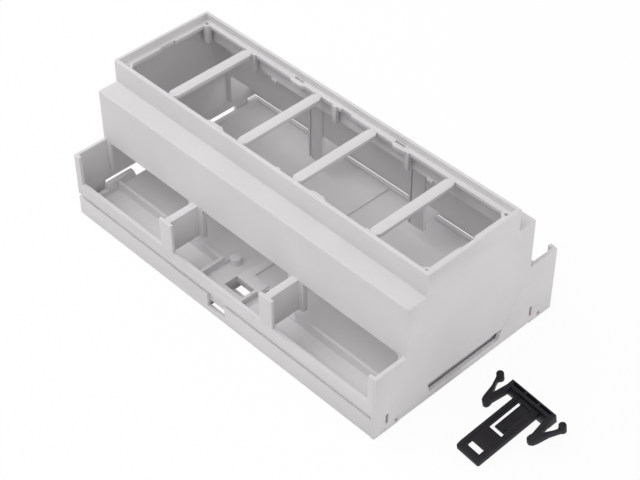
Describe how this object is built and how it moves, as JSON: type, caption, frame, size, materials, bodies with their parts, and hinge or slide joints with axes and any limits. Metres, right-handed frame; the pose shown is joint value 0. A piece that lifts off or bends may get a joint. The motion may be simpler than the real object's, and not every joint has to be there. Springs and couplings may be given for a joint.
{
  "type": "din_rail_enclosure",
  "caption": "Empty grey plastic rail-mount enclosure with an open stepped front, terminal bays and a loose black rail clip.",
  "frame": {"origin": "centre of the case's standing plane, where it meets the rail", "axes": "+X along the rail, +Y across it away from the clip's slot, +Z out from the rail to the front"},
  "size_m": [0.2044, 0.09, 0.0605],
  "materials": {
    "grey_plastic": "matte",
    "black_plastic": "matte"
  },
  "bodies": {
    "case": {"base": "grey_plastic", "rail_clip": "black_plastic"},
    "lid": {"cover": "grey_plastic"}
  },
  "joints": [
    {"name": "cover_lift", "type": "slide", "parent": "case", "child": "lid", "axis": [0, 0, 1], "range_m": [0, 0.06]}
  ]
}
